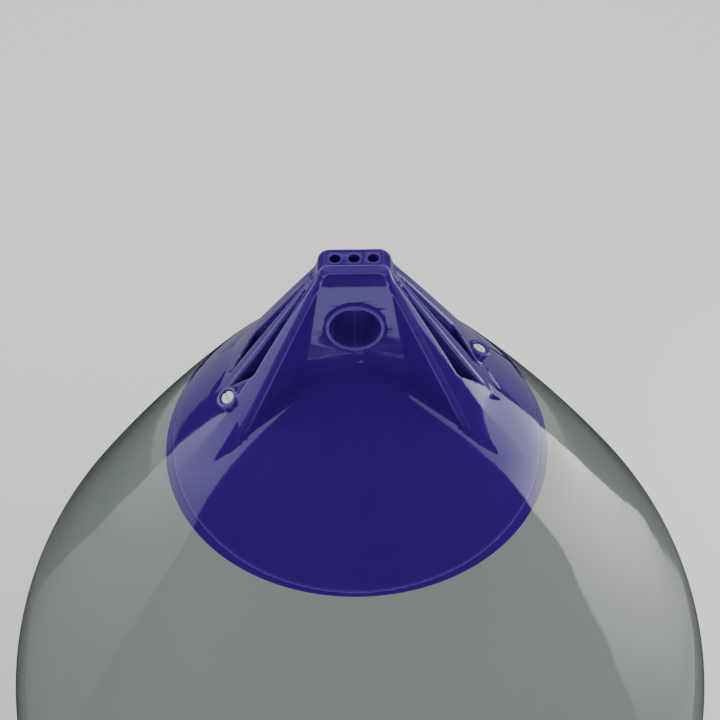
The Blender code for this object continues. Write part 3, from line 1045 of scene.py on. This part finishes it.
class BUOY_OT_valve_screws(bpy.types.Operator):
    """Makes the slotted valve screws with their threads"""

    bl_idname = "buoy.valve_screws"
    bl_label = "Valve screws"

    def execute(self, context):
        finish = nylon("white_nylon", tuple(colours().screw), 0.28)
        for name, side in SIDES:
            bm = cut_slot(make_screw(), "screw")
            add_thread(bm)
            place_valve(bm, side)
            node = "valve_screw_" + name
            add_piece("screw_" + name, bm, name + " plug", [node], finish)
        return {"FINISHED"}


def add_lamp_panel(name, corners, stops, slant=0.0):
    """A glowing panel that no camera sees. Its stops are (height, brightness) up the panel."""
    bm = bmesh.new()
    bm.faces.new([bm.verts.new(corner) for corner in corners])
    mesh = bpy.data.meshes.new(name)
    bm.to_mesh(mesh)
    bm.free()
    panel = bpy.data.objects.new(name, mesh)
    bpy.context.scene.collection.objects.link(panel)
    panel.visible_camera = False
    panel.visible_shadow = False
    low, high = stops[0][0], stops[-1][0]
    brightest = max(brightness for _, brightness in stops)
    glow = Finish(name, {"Specular IOR Level": 0.0, "Emission Strength": brightest})
    glow.shader.inputs["Base Color"].default_value = (0, 0, 0, 1)
    spot = glow.node("ShaderNodeTexCoord", output="Object")
    depth = glow.node("ShaderNodeSeparateXYZ", inputs={"Vector": spot}, output="Y")
    height = glow.node("ShaderNodeSeparateXYZ", inputs={"Vector": spot}, output="Z")
    way = (height + depth * slant - low) * (1 / (high - low))
    ramp = [((at - low) / (high - low), brightness / brightest) for at, brightness in stops]
    glow.finish(Emission_Color=glow.ramp(way, ramp))
    mesh.materials.append(glow.material)
    panel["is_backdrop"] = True
    return panel


def side_panel(name, x, outline, stops):
    """An upright panel beside the buoy, from an outline of (depth, height)."""
    return add_lamp_panel(name, [(x, y, z) for y, z in outline], stops, SIDE_SLANT)


def even_panel(name, centre, across, up, brightness):
    """A panel of one brightness, spanned by two half sides."""
    centre, across, up = Vector(centre), Vector(across), Vector(up)
    corners = [
        centre - across - up,
        centre + across - up,
        centre + across + up,
        centre - across + up,
    ]
    return add_lamp_panel(name, corners, [(-2.0, brightness), (2.0, brightness)])


class BUOY_OT_stage(bpy.types.Operator):
    """Sets up the floor, the lamps and the camera"""

    bl_idname = "buoy.stage"
    bl_label = "Stage"

    def execute(self, context):
        scene = context.scene
        floor_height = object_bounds()[0][2]
        bm = bmesh.new()
        bmesh.ops.create_grid(bm, x_segments=1, y_segments=1, size=FLOOR_HALF_WIDTH)
        bmesh.ops.translate(bm, verts=bm.verts, vec=(0, 0, floor_height))
        mesh = bpy.data.meshes.new("floor")
        bm.to_mesh(mesh)
        bm.free()
        floor = bpy.data.objects.new("floor", mesh)
        scene.collection.objects.link(floor)
        pale = Finish("pale_floor", {"Roughness": 0.9, "Specular IOR Level": 0.0})
        pale.shader.inputs["Base Color"].default_value = (FLOOR_PALENESS,) * 3 + (1,)
        mesh.materials.append(pale.material)
        floor.visible_glossy = False
        floor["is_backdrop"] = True

        world = bpy.data.worlds.new("studio")
        world.use_nodes = True
        world.node_tree.nodes["Background"].inputs["Color"].default_value = (1, 1, 1, 1)
        world.node_tree.nodes["Background"].inputs["Strength"].default_value = SKY
        world.cycles_visibility.glossy = False
        scene.world = world

        side_panel("left_softbox", -SIDE_DISTANCE, LEFT_OUTLINE, LEFT_STOPS)
        side_panel("right_softbox", SIDE_DISTANCE, RIGHT_OUTLINE, RIGHT_STOPS)
        even_panel("front_card", *FRONT_CARD)
        card = even_panel("floor_card", *FLOOR_CARD)
        card.visible_diffuse = False
        even_panel("back_softbox", *BACK_SOFTBOX)

        data = bpy.data.cameras.new("camera")
        data.sensor_width = CAMERA_SENSOR
        data.lens = CAMERA_LENS
        data.shift_x = CAMERA_SHIFT
        camera = bpy.data.objects.new("camera", data)
        scene.collection.objects.link(camera)
        turn = Vector(CAMERA_VIEW).to_track_quat("-Z", "Y").to_matrix().to_4x4()
        roll = Matrix.Rotation(CAMERA_ROLL, 4, "Z")
        camera.matrix_world = Matrix.Translation(CAMERA_PLACE) @ turn @ roll
        scene.camera = camera
        return {"FINISHED"}


class BUOY_PT_panel(bpy.types.Panel):
    """Lists the buoy's pieces"""

    bl_label = "Mooring buoy"
    bl_idname = "BUOY_PT_panel"
    bl_space_type = "VIEW_3D"
    bl_region_type = "UI"
    bl_category = "Buoy"

    def draw(self, context):
        column = self.layout.column()
        for group in (context.scene.buoy_sizes, context.scene.buoy_colours):
            for name in group.__annotations__:
                column.prop(group, name)
        for operator in OPERATORS:
            column.operator(operator.bl_idname)


GROUPS = (BuoySizes, BuoyColours)
OPERATORS = (
    BUOY_OT_stage,
    BUOY_OT_body,
    BUOY_OT_rope_eye_end,
    BUOY_OT_valve_inserts,
    BUOY_OT_valve_seals,
    BUOY_OT_valve_screws,
)


def register():
    for each in GROUPS + OPERATORS + (BUOY_PT_panel,):
        bpy.utils.register_class(each)
    bpy.types.Scene.buoy_sizes = PointerProperty(type=BuoySizes)
    bpy.types.Scene.buoy_colours = PointerProperty(type=BuoyColours)


def unregister():
    del bpy.types.Scene.buoy_colours
    del bpy.types.Scene.buoy_sizes
    for each in reversed(GROUPS + OPERATORS + (BUOY_PT_panel,)):
        bpy.utils.unregister_class(each)


def main():
    register()
    bpy.ops.buoy.stage()
    bpy.ops.buoy.body()
    bpy.ops.buoy.rope_eye_end()
    bpy.ops.buoy.valve_inserts()
    bpy.ops.buoy.valve_seals()
    bpy.ops.buoy.valve_screws()


if __name__ == "__main__":
    main()
